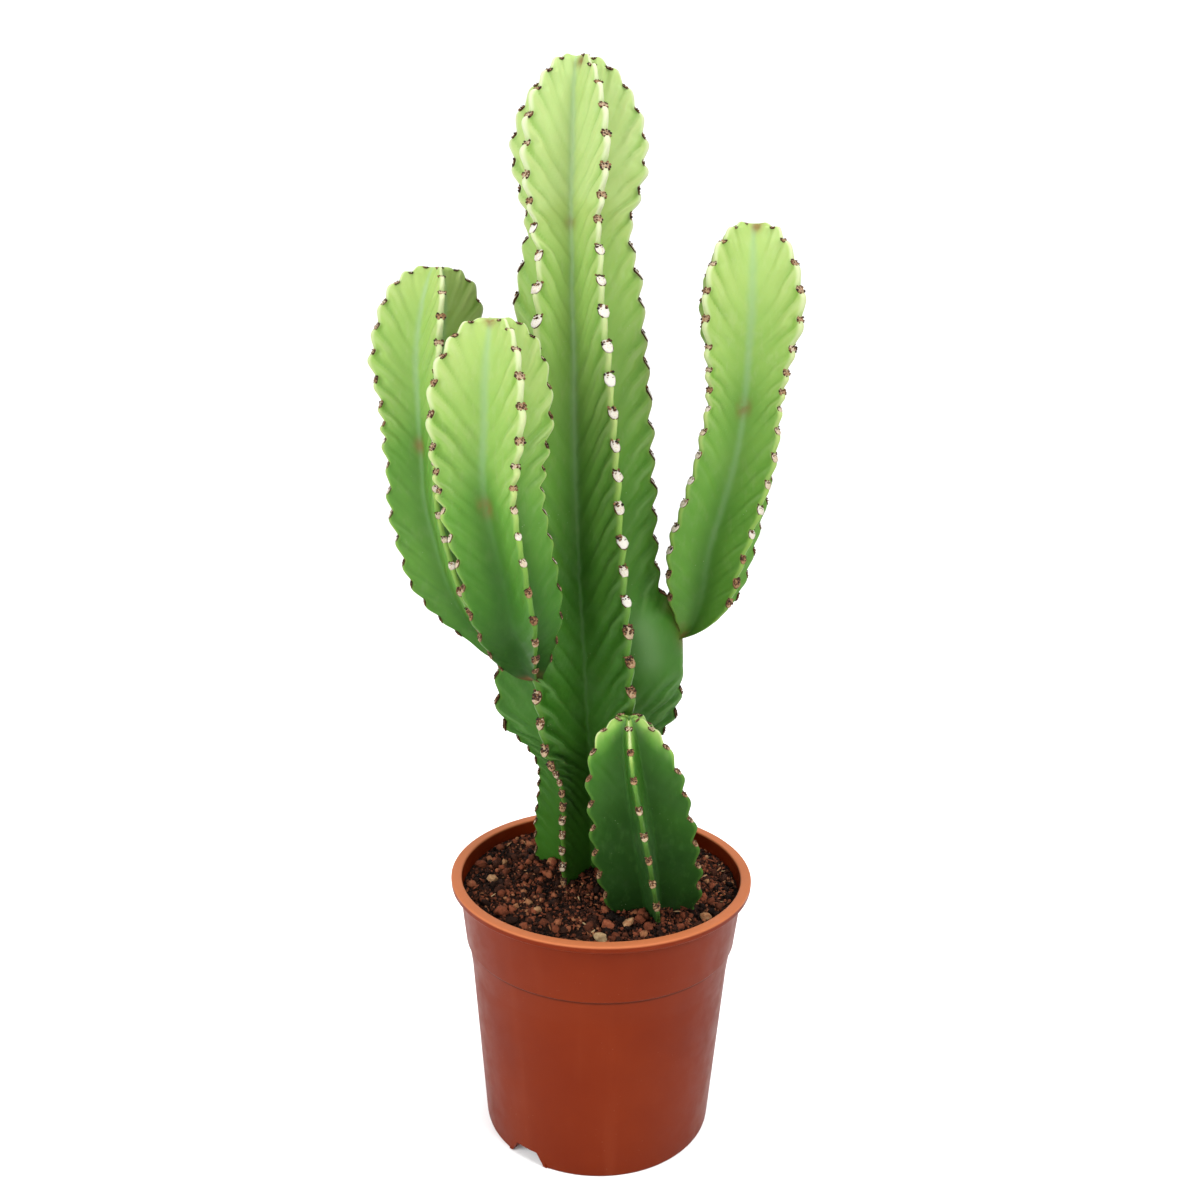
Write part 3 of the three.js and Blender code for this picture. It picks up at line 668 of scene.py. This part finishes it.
class Rib:
    """The surface of one rib, and its areoles."""

    def __init__(self, stem, number, spine, section, random):
        x, y, self.z, radius, turn = spine
        gain, own_turn, puff = rib_unevenness(stem, number, self.z)
        angle = np.radians(turn + own_turn + 360 * number / stem["ribs"])
        level = np.zeros_like(self.z)
        self.out_axis = np.stack([np.sin(angle), -np.cos(angle), level], axis=1)
        self.side_axis = np.stack([np.cos(angle), np.sin(angle), level], axis=1)
        self.centre = np.stack([x, y, self.z], axis=1)
        crest_radius = radius * (1 + gain)
        crest = self.centre + crest_radius[:, None] * self.out_axis
        step = np.linalg.norm(np.diff(crest, axis=0), axis=1)
        self.length = np.concatenate([[0], np.cumsum(step)])
        slope = unit(np.gradient(np.stack([crest_radius, self.z], axis=1), self.length, axis=0))
        self.outward = slope[:, 1:] * self.out_axis - slope[:, :1] * np.array([0, 0, 1.0])
        self.draw_areoles(stem, random)
        self.toothed = toothed_share(stem, number, self.z)
        size = np.minimum(1, radius / 14)
        v, out, half = section
        beyond = (out - out[-1]) / (1 - out[-1])
        self.along = radius[:, None] * (out + gain[:, None] * beyond)
        self.across = radius[:, None] * half * (1 + puff[:, None] * np.sin(math.pi * v ** 0.6) ** 1.5)
        self.pleat_flank(table(stem["pleats"], self.z) * size * self.toothed,
                         v, crest_radius[:, None] * (1 - out))
        self.tooth_crest(table(stem["lobes"], self.z) * size * self.toothed, size, v, beyond)

    def draw_areoles(self, stem, random):
        """Draws the areoles' places and how strong the lobe and the pleat at each of them are."""
        self.steps = areole_steps(stem, self.length, self.z, random)
        self.vigour = random.uniform(0.85, 1.15, len(self.steps))
        self.sway = random.uniform(-0.5, 0.5, len(self.steps))
        self.strength = random.uniform(0.5, 1.3, len(self.steps))

    def pleat_flank(self, height, v, depth):
        """Pleats that run down and inwards from each areole, on points at the given depths."""
        phase, tooth = self.phase(self.length[:, None] + PLEAT_SLOPE * depth * (1 + 0.012 * depth))
        window = smooth(v, 0.03, 0.2) * (1 - 0.75 * smooth(v, 0.3, 0.95))
        fold = (lobe(phase) - 0.55) + 0.35 * np.sin(4 * math.pi * phase + 9 * self.sway[tooth])
        self.pleat = height[:, None] * fold * window * self.strength[tooth]
        folded = np.minimum(1, height / 1.2)[:, None]
        self.ridge = MEAN_RIDGE + (lobe(phase) - MEAN_RIDGE) * folded * self.strength[tooth]

    def tooth_crest(self, height, size, v, beyond):
        """Lobes and a thicker crest at the areoles, swung a little to either side."""
        phase, tooth = self.phase(self.length)
        near_areole = np.exp(-(np.minimum(phase, 1 - phase) * 3.2) ** 2)
        self.across *= 1 + 0.5 * near_areole[:, None] * np.exp(-(v / 0.12) ** 2)
        swing = 0.7 * size * (lobe(phase) * self.sway[tooth])
        lift = height * (lobe(phase) * self.vigour[tooth] - 0.6)
        weight = np.clip(beyond, 0, 1) ** 2.2
        self.shift = (lift[:, None, None] * self.outward[:, None, :]
                      + swing[:, None, None] * self.side_axis[:, None, :]) * weight[None, :, None]

    def phase(self, place):
        """How far places along the crest are from one areole to the next, and which areole is below."""
        below = np.clip(np.searchsorted(self.steps, place, side="right") - 1, 0, len(self.steps) - 2)
        low = self.steps[below]
        return np.clip((place - low) / (self.steps[below + 1] - low), 0, 1), below

    def crest_at(self, place):
        """The point of the crest at a place along it."""
        return np.array([np.interp(place, self.length, column) for column in self.crest.T])

    def side(self, sign):
        """The points of one flank, from crest to groove."""
        across = sign * (self.across + self.pleat)
        points = self.centre[:, None, :] + self.along[:, :, None] * self.out_axis[:, None, :]
        return points + across[:, :, None] * self.side_axis[:, None, :] + self.shift


def pull_together(left, right, v):
    """Moves two flanks so that they share the groove between them."""
    middle = (left[:, -1] + right[:, -1]) / 2
    weight = smooth(v, 0.35, 1.0)[None, :, None]
    for flank in (left, right):
        flank += weight * (middle - flank[:, -1])[:, None, :]


def stem_rings(ribs, v):
    """The level rings of points round a stem, and the flank share and ridge of their points."""
    rising = [rib.side(-1) for rib in ribs]
    falling = [rib.side(1) for rib in ribs]
    for number, rib_rising in enumerate(rising):
        pull_together(falling[number - 1], rib_rising, v)
    rings = []
    flank = []
    ridge = []
    for rib, up, down in zip(ribs, rising, falling):
        rings += [up[:, :0:-1], down[:, :-1]]
        flank += [v[:0:-1], v[:-1]]
        ridge += [rib.ridge[:, :0:-1], rib.ridge[:, :-1]]
    return np.concatenate(rings, axis=1), np.concatenate(flank), np.concatenate(ridge, axis=1)


def near_spots(points, spots):
    """How near points lie to the middles of spots (x, y, z, reach), added up over the spots."""
    near = np.zeros(len(points))
    for *place, reach in spots:
        near += np.exp(-(np.linalg.norm(points - place, axis=1) / reach) ** 2)
    return near


def scar_share(stem, points, across):
    """How corky the skin is at points, from the stem's bands in its grooves and its spots."""
    scar = 1.2 * near_spots(points, stem["scar_spots"])
    for centre, reach, strength in stem["scar_bands"]:
        scar += strength * np.exp(-((points[:, 2] - centre) / reach) ** 2) * smooth(across, 0.72, 0.95)
    return np.clip(scar, 0, 1)


def build_stem(stem, seed):
    """The skin of one stem as (points, faces, attributes), its ribs and its random generator."""
    random = np.random.default_rng(seed)
    rows = np.array(stem["rows"], float)
    spine = catmull_rom(rows, even_places(rows, RING_STEP)).T
    section = flank_section(stem["ribs"])
    ribs = [Rib(stem, number, spine, section, random) for number in range(stem["ribs"])]
    rings, flank, ridge = stem_rings(ribs, section[0])
    swell = 0.5 * np.minimum(1, spine[3] / 17)[:, None] * ripples(rings, 60, seed + 50, 2)
    rings = rings + swell[..., None] * unit(rings - spine[:3].T[:, None, :])
    for number, rib in enumerate(ribs):
        rib.crest = rings[:, (2 * number + 1) * FLANK_STEPS]
    points = np.concatenate([rings.reshape(-1, 3), rings[[0, -1]].mean(axis=1)])
    across = np.concatenate([np.tile(flank, len(rings)), [1.0, 1.0]])
    attributes = {
        "age": table(stem["age"], points[:, 2] + NEW_GROWTH_DIP * (0.5 - across)),
        "flank": across,
        "ridge": np.concatenate([ridge.ravel(), [0.0, 0.0]]),
        "scar": scar_share(stem, points, across),
        # pale holds the painted highlight spots.
        "pale": near_spots(points, stem["highlight_spots"]),
    }
    return points, tube_faces(*rings.shape[:2]), attributes, ribs, random


# ---- Areoles ----

BALL_ROUGH = ball(1)
BALL_FINE = ball(2)


def lump(shape, place, axes, sizes, tone, rough, random):
    """A rough ellipsoid with the given axes as (points, faces, attributes)."""
    points, faces = shape
    bumpy = points * (1 + rough * random.uniform(-1, 1, (len(points), 1)))
    return place + (bumpy * sizes) @ axes, faces, {"tone": np.full(len(points), tone)}


def spine(place, direction, side, length, width, tone):
    """A slender five-sided cone."""
    other = np.cross(direction, side)
    angles = np.arange(5) * 2 * math.pi / 5
    base = place + width * (np.cos(angles)[:, None] * side + np.sin(angles)[:, None] * other)
    points = np.vstack([base, place + length * direction])
    faces = [(i, (i + 1) % 5, 5) for i in range(5)] + [(4, 3, 2, 1, 0)]
    return points, faces, {"tone": np.full(6, tone)}


def areole(place, up, out, side, young, stem, size, random):
    """A spine shield with a dark edge, dried bits round or above it and its pair of spines."""
    axes = np.stack([side, up, out])
    if young:
        shield = np.array([2.7, 2.7, 0.6]) * size
        pale = random.uniform(0.5, 0.75)
        angles = np.arange(15) * 2 * math.pi / 15 + random.uniform(-0.3, 0.3, 15)
        spots = np.stack([1.0 * np.cos(angles), 0.9 * np.sin(angles)], axis=1)
        spots[::3] *= 0.4
        tones = (0.05, 0.16, 0.27, 0.42)
    else:
        old = place[2] < stem["old_below"]
        size *= stem["shield_size"]
        shield = np.array([3, 4, 0.6]) * size
        pale = stem["shield_tone"] * (random.uniform(0.5, 0.8) if old else random.uniform(0.9, 1.1))
        spots = random.uniform((-0.95, -0.3 if old else 0.2), (0.95, 1), (34 if old else 9, 2))
        tones = (0.02, 0.12, 0.2, 0.3, 0.42)
    middle = place - 0.2 * up if young else place + 0.12 * out
    parts = [
        lump(BALL_FINE, middle - 0.25 * out, axes, shield * (1.07, 1.06, 0.9), 0.2, 0.06, random),
        lump(BALL_FINE, middle + 0.15 * out, axes, shield, pale, 0.14, random),
    ]
    for across, along in spots:
        bit = np.array([0.85, 0.7, 0.55]) * size * random.uniform(0.6, 1.2)
        lift = 0.4 if young else 0.4 + 0.45 * (1 - across ** 2) * (1 - along ** 2)
        at = middle + across * shield[0] * side + along * shield[1] * up + lift * size * out
        parts.append(lump(BALL_ROUGH, at, axes, bit, random.choice(tones), 0.15, random))
    for hand in (-1, 1):
        direction = unit(0.75 * hand * side + 0.6 * out + random.uniform(-0.1, 0.5) * up)
        root = place + 0.9 * hand * size * side + 0.6 * size * up + 0.4 * out
        across = unit(np.cross(direction, up))
        parts.append(spine(root, direction, across, random.uniform(1.3, 2.2) * size, 0.32 * size, 0.06))
    return parts


def build_areoles(stem, ribs, random, top_of_mix):
    """Every areole that shows on a stem, as one (points, faces, attributes)."""
    parts = []
    for rib in ribs:
        for step in rib.steps:
            if not 0 < step < rib.length[-1] - 1:
                continue
            height = np.interp(step, rib.length, rib.z)
            if height < top_of_mix or np.interp(step, rib.length, rib.toothed) < 0.5:
                continue
            young = height > stem["young_above"]
            gap = table(stem["spacing"], height)
            size = min(1.0, 0.36 + gap / 26) * random.uniform(0.88, 1.08)
            if not young:
                step -= SHIELD_DROP * size * stem["shield_size"]
            reach = SHIELD_REACH * size * stem["shield_size"]
            at, below, above = (rib.crest_at(step + move) for move in (0, -reach, reach))
            up = unit(above - below)
            out = np.array([np.interp(step, rib.length, column) for column in rib.outward.T])
            out = unit(out - up * (out @ up))
            parts += areole(at, up, out, np.cross(up, out), young, stem, size, random)
    return joined(parts)


# ---- Pot ----

def softened(outline, radius, steps=4):
    """An open outline with each inner corner replaced by a short curve."""
    points = [np.array(p, float) for p in outline]
    result = [points[0]]
    for before, corner, after in zip(points, points[1:], points[2:]):
        reach = min(radius, np.linalg.norm(before - corner) / 2.2, np.linalg.norm(after - corner) / 2.2)
        start = corner + unit(before - corner) * reach
        end = corner + unit(after - corner) * reach
        for t in np.linspace(0, 1, steps):
            result.append((1 - t) ** 2 * start + 2 * t * (1 - t) * corner + t * t * end)
    result.append(points[-1])
    return result


def wall_rings(foot, top):
    """Points on the straight wall from foot to top, where the notches end and above."""
    share = [(z - foot[1]) / (top[1] - foot[1]) for z in WALL_RINGS]
    return [(foot[0] + s * (top[0] - foot[0]), z) for s, z in zip(share, WALL_RINGS)]


def pot_profile():
    """The pot's closed profile from the middle of its underside round to the middle of its floor."""
    rim_inside = COLLAR_TOP_RADIUS - POT_WALL
    under_rim = POT_HEIGHT - RIM_DEPTH
    foot = (BASE_RADIUS + 0.15, 2.5)
    floor = (BASE_RADIUS - POT_WALL, POT_WALL)
    body_inside = (BODY_TOP[0] - POT_WALL, BODY_TOP[1])
    outline = [
        (0, 0), (BASE_RADIUS - 0.2, 0), foot, *wall_rings(foot, BODY_TOP), BODY_TOP,
        (COLLAR_BOTTOM[0] - COLLAR_STEP, COLLAR_BOTTOM[1] - 0.6), COLLAR_BOTTOM,
        (COLLAR_TOP_RADIUS, under_rim), (RIM_RADIUS - 0.3, under_rim), (RIM_RADIUS, POT_HEIGHT),
        (rim_inside, POT_HEIGHT), (rim_inside, under_rim - 2),
        (COLLAR_BOTTOM[0] - POT_WALL, COLLAR_BOTTOM[1]), body_inside,
        *reversed(wall_rings(floor, body_inside)), floor, (0, POT_WALL),
    ]
    return softened(outline, 1.1, 5)


def lathe(profile, sides):
    """A closed surface of revolution; the profile starts and ends on the axis."""
    ring = np.array([p for p in profile if p[0] > 1e-6])
    angles = np.arange(sides) * 2 * math.pi / sides
    turn = np.stack([np.sin(angles), -np.cos(angles)], axis=1)
    rings = np.concatenate([ring[:, None, :1] * turn, np.repeat(ring[:, None, 1:], sides, 1)], axis=2)
    ends = [(0, 0, profile[0][1]), (0, 0, profile[-1][1])]
    points = np.concatenate([rings.reshape(-1, 3), ends])
    return points, tube_faces(len(ring), sides)


def trapezium(angle, bottom, top, base, height, near, far):
    """A block with a trapezium front, from radius near to radius far in the direction of angle."""
    points = []
    for radius in (near, far):
        for half, z in ((-bottom / 2, base), (bottom / 2, base), (top / 2, height), (-top / 2, height)):
            turn = math.radians(angle)
            points.append((
                radius * math.sin(turn) + half * math.cos(turn),
                -radius * math.cos(turn) + half * math.sin(turn),
                z,
            ))
    faces = [(3, 2, 1, 0), (4, 5, 6, 7), (0, 1, 5, 4), (1, 2, 6, 5), (2, 3, 7, 6), (3, 0, 4, 7)]
    return points, faces


def apply_boolean(obj, points, faces, operation):
    tool = make_object("tool", points, faces, obj.data.materials[0])
    modifier = obj.modifiers.new("cut", "BOOLEAN")
    modifier.operation = operation
    modifier.solver = "EXACT"
    modifier.object = tool
    bpy.context.view_layer.update()
    cut = bpy.data.meshes.new_from_object(obj.evaluated_get(bpy.context.evaluated_depsgraph_get()))
    obj.modifiers.clear()
    obj.data = cut
    bpy.data.objects.remove(tool)


def build_pot():
    points, faces = lathe(pot_profile(), POT_SIDES)
    pot = make_object("nursery_pot", points, faces, pot_material())
    wall = NOTCH["wall"]
    for angle in NOTCH_ANGLES:
        near = BASE_RADIUS - NOTCH["depth"]
        boss = trapezium(angle, NOTCH["bottom"] + 2 * wall, NOTCH["top"] + 2 * wall, 0.7,
                         NOTCH["height"] + wall, near - wall, BASE_RADIUS - 0.7)
        apply_boolean(pot, *boss, "UNION")
        notch = trapezium(angle, NOTCH["bottom"], NOTCH["top"], -1, NOTCH["height"], near, BASE_RADIUS + 4)
        apply_boolean(pot, *notch, "DIFFERENCE")
        middle = BASE_RADIUS - NOTCH["depth"] / 2
        half = NOTCH["drain"] / 2
        drain = trapezium(angle, NOTCH["drain"], NOTCH["drain"], NOTCH["height"] - 2,
                          NOTCH["height"] + 2 * wall, middle - half, middle + half)
        apply_boolean(pot, *drain, "DIFFERENCE")
    pot.data.polygons.foreach_set("use_smooth", [True] * len(pot.data.polygons))
    pot.data.set_sharp_from_angle(angle=math.radians(32))
    add_piece(pot, "pot", "pot")


# ---- Potting mix ----

def mix_height(x, y):
    """The top of the mix: level at the wall, mounded round the stems, a little uneven."""
    away = np.hypot(x - MOUND_CENTRE[0], y - MOUND_CENTRE[1]) / MOUND_SPREAD
    ripple = np.sin(x / 9 + 1) * np.cos(y / 11) + np.sin((x + 2 * y) / 17)
    return MIX_LEVEL + MIX_MOUND * np.exp(-away ** 2) + MIX_RIPPLE * ripple


def mix_edge():
    """The radius of the top of the mix, just inside the pot's wall."""
    share = (MIX_LEVEL - COLLAR_BOTTOM[1]) / (POT_HEIGHT - RIM_DEPTH - COLLAR_BOTTOM[1])
    return COLLAR_BOTTOM[0] + share * (COLLAR_TOP_RADIUS - COLLAR_BOTTOM[0]) - POT_WALL - 0.4


def build_mix_body():
    """The mass of the mix, with a rough top."""
    edge = mix_edge()
    rings = [
        (BASE_RADIUS - 6, POT_WALL + 0.5), (BASE_RADIUS - POT_WALL - 0.6, 8),
        (BODY_TOP[0] - POT_WALL - 0.5, BODY_TOP[1]),
        (COLLAR_BOTTOM[0] - POT_WALL - 0.5, COLLAR_BOTTOM[1]),
    ]
    rings += [(edge * r, MIX_LEVEL) for r in np.linspace(1, 0.01, MIX_TOP_RINGS)]
    angles = np.arange(MIX_SIDES) * 2 * math.pi / MIX_SIDES
    points = np.array([(r * math.sin(a), -r * math.cos(a), z) for r, z in rings for a in angles])
    top = points[:, 2] == MIX_LEVEL
    lift = mix_height(points[:, 0], points[:, 1]) - MIX_LEVEL + 0.9 * ripples(points, 7, 3, 3)
    points[:, 2] += np.where(top, lift - PEAT_DROP, 0)
    ends = [(0, 0, POT_WALL + 0.5), (0, 0, float(mix_height(0, 0)) - PEAT_DROP)]
    body = make_object("potting_mix_body", np.concatenate([points, ends]),
                       tube_faces(len(rings), MIX_SIDES), peat_material())
    add_piece(body, "potting_mix", "potting_mix")


def inside(outline, x, y):
    """Which points lie inside a closed outline."""
    hit = np.zeros(len(x), bool)
    for (x0, y0), (x1, y1) in zip(outline, np.roll(outline, -1, axis=0)):
        crosses = (y0 > y) != (y1 > y)
        with np.errstate(divide="ignore", invalid="ignore"):
            reach = (x1 - x0) * (y - y0) / (y1 - y0) + x0
        hit ^= crosses & (x < reach)
    return hit


def random_turns(random, count):
    """Random rotations, as count 3 by 3 matrices."""
    q = unit(random.normal(size=(count, 4)))
    w, x, y, z = q.T
    return np.stack([
        np.stack([1 - 2 * (y * y + z * z), 2 * (x * y - z * w), 2 * (x * z + y * w)], axis=1),
        np.stack([2 * (x * y + z * w), 1 - 2 * (x * x + z * z), 2 * (y * z - x * w)], axis=1),
        np.stack([2 * (x * z - y * w), 2 * (y * z + x * w), 1 - 2 * (x * x + y * y)], axis=1),
    ], axis=1)


def on_stones(x, y):
    """Which points lie on one of the larger stones."""
    covered = np.zeros(len(x), bool)
    for number in range(1, len(STONE_TONES) + 1):
        low, high = (np.array(corner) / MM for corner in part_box(f"lava_stone_{number:02d}"))
        middle = (low + high) / 2
        half = (high - low) / 2
        covered |= ((x - middle[0]) / half[0]) ** 2 + ((y - middle[1]) / half[1]) ** 2 < 1
    return covered


GRAIN_KINDS = {
    # shape, smallest and largest half length in mm, proportions, tones
    "crumb": (BALL_ROUGH, (0.4, 1.1), (1, 0.85, 0.75), (-0.1, 0.5)),
    "grit": (BALL_ROUGH, (0.5, 1.5), (1, 0.8, 0.7), (0.1, 0.85)),
    "lump": (BALL_FINE, (1.5, 3.1), (1, 0.8, 0.7), (0.0, 0.9)),
    "fibre": (BALL_ROUGH, (1.6, 3.6), (1, 0.16, 0.14), (0.0, 1.05)),
}


def build_grains(stem_outlines):
    """The loose grains on top of the mix, one piece for each kind."""
    for seed, (kind, (shape, sizes, proportions, tones)) in enumerate(GRAIN_KINDS.items()):
        random = np.random.default_rng(seed + 11)
        count = GRAIN_COUNTS[kind]
        size = random.uniform(*sizes, count * 2)
        radius = (mix_edge() - 0.6 - size) * np.sqrt(random.uniform(0, 1, count * 2))
        angle = random.uniform(0, 2 * math.pi, count * 2)
        x = radius * np.sin(angle)
        y = -radius * np.cos(angle)
        free = ~on_stones(x, y)
        for outline in stem_outlines:
            free &= ~inside(outline, x, y)
        chosen = np.flatnonzero(free)[:count]
        x, y, size = x[chosen], y[chosen], size[chosen]
        count = len(chosen)
        z = mix_height(x, y) + random.uniform(-0.3, 0.5, count) * size
        turns = random_turns(random, count)
        if kind == "fibre":
            turns[:, 2, 0] *= 0.25
        spots = np.stack([x, y, 0 * x], axis=1)
        tone = random.uniform(*tones, count) - 0.22 * np.maximum(0, ripples(spots, 34, 5, 2) + 0.2)
        points, faces = shape
        rough = 1 + 0.3 * random.uniform(-1, 1, (count, len(points), 1))
        grains = np.einsum("gij,gpj->gpi", turns, points * rough * np.array(proportions))
        grains = grains * size[:, None, None] + np.stack([x, y, z], axis=1)[:, None, :]
        all_faces = (np.array(faces)[None] + len(points) * np.arange(count)[:, None, None]).reshape(-1, 3)
        obj = make_object(f"mix_{kind}s", grains.reshape(-1, 3), all_faces.tolist(),
                          grain_material(f"mix_{kind}", *GRAIN_STOPS),
                          {"tone": np.repeat(tone, len(points))}, smooth_shaded=kind == "lump")
        add_piece(obj, "potting_mix")


# ---- Stones ----

STONE_TONES = (0.9, 0.72, 0.5, 0.62, 0.08, 0.68, 0.88, 0.56, 0.5, 0.98, 0.5, 0.86, 0.66, 0.6)


def build_stones():
    """The larger stones, each a rough lump that fills its node's box."""
    material = grain_material("lava_stone", *GRAIN_STOPS)
    shape = ball(4)
    for number, tone in enumerate(STONE_TONES, start=1):
        node = f"lava_stone_{number:02d}"
        low, high = (np.array(corner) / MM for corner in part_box(node))
        points = shape[0]
        facets = np.random.default_rng(number).normal(size=(13, 3))
        cut = (points @ unit(facets).T).max(axis=1, keepdims=True)
        points = points / (0.35 + 0.65 * cut)
        points = points * (1 + 0.09 * ripples(points, 1.1, number, 4))[:, None]
        points = points / np.abs(points).max(axis=0)
        points = (low + high) / 2 + points * (high - low) / 2
        obj = make_object(f"stone_{number:02d}", points, shape[1], material,
                          {"tone": np.full(len(points), tone)})
        add_piece(obj, "lava_stone", node)


# ---- Stage ----

def build_floor():
    """A pale floor that turns up far away on all sides."""
    s = Shader("studio_paper", Roughness=0.9, Specular_IOR_Level=0.1)
    paper = s.finish(Base_Color=PAPER)
    rings = [(FLOOR_RADIUS, 0)]
    for turn in np.linspace(0.1, math.pi / 2, 14):
        rings.append((FLOOR_RADIUS + FLOOR_SWEEP * math.sin(turn), FLOOR_SWEEP * (1 - math.cos(turn))))
    rings.append((FLOOR_RADIUS + FLOOR_SWEEP, FLOOR_TOP))
    angles = np.arange(FLOOR_SIDES) * 2 * math.pi / FLOOR_SIDES
    points = [(r * math.sin(a), -r * math.cos(a), z) for r, z in rings for a in angles] + [(0, 0, 0)]
    faces = [(len(points) - 1, i, (i + 1) % FLOOR_SIDES) for i in range(FLOOR_SIDES)]
    for ring in range(len(rings) - 1):
        low = ring * FLOOR_SIDES
        for i in range(FLOOR_SIDES):
            j = (i + 1) % FLOOR_SIDES
            faces.append((low + i, low + FLOOR_SIDES + i, low + FLOOR_SIDES + j, low + j))
    floor = make_object("studio_floor", points, faces, paper)


def light_scene():
    """A white sky and soft area lights."""
    world = bpy.data.worlds.new("studio")
    bpy.context.scene.world = world
    world.use_nodes = True
    sky = world.node_tree.nodes["Background"].inputs
    sky["Color"].default_value = (1.0, 1.0, 1.0, 1)
    sky["Strength"].default_value = SKY_STRENGTH
    for name, place, target, size, power in AREA_LIGHTS:
        light = bpy.data.lights.new(name, "AREA")
        light.size = size
        light.energy = power
        obj = bpy.data.objects.new(name, light)
        obj.location = place
        obj.rotation_euler = (Vector(target) - Vector(place)).to_track_quat("-Z", "Y").to_euler()
        bpy.context.scene.collection.objects.link(obj)


def place_camera():
    """A camera a little above the plant's middle that looks slightly down."""
    camera = bpy.data.objects.new("camera", bpy.data.cameras.new("camera"))
    camera.data.lens = CAMERA_LENS
    camera.data.sensor_width = SENSOR_WIDTH
    camera.data.clip_start = 0.01
    camera.location = CAMERA_PLACE
    camera.rotation_mode = "XYZ"
    pitch = Matrix.Rotation(math.radians(90 - CAMERA_PITCH_DOWN), 4, "X")
    roll = Matrix.Rotation(math.radians(CAMERA_ROLL), 4, "Z")
    camera.rotation_euler = (pitch @ roll).to_euler()
    bpy.context.scene.collection.objects.link(camera)
    bpy.context.scene.camera = camera
    bpy.context.scene.view_settings.view_transform = "Standard"


# ---- The whole plant ----

def build_plant():
    """Every stem with its areoles; returns the outlines of those that stand in the mix."""
    skin = skin_material()
    corky = areole_material()
    outlines = []
    for seed, (name, stem) in enumerate(STEMS.items(), start=1):
        points, faces, attributes, ribs, random = build_stem(stem, seed)
        add_piece(make_object(f"{name}_skin", points, faces, skin, attributes), "stem", name)
        marks, mark_faces, mark_attributes = build_areoles(stem, ribs, random, MIX_LEVEL + 2)
        add_piece(make_object(f"{name}_areoles", marks, mark_faces, corky, mark_attributes), "stem")
        if points[0, 2] < MIX_LEVEL:
            count = 2 * FLANK_STEPS * stem["ribs"]
            ring = int(np.argmax(points[::count, 2] > MIX_LEVEL + 1))
            outlines.append(points[ring * count:(ring + 1) * count, :2])
    return outlines


build_floor()
light_scene()
place_camera()
build_grains(build_plant())
build_mix_body()
build_stones()
build_pot()
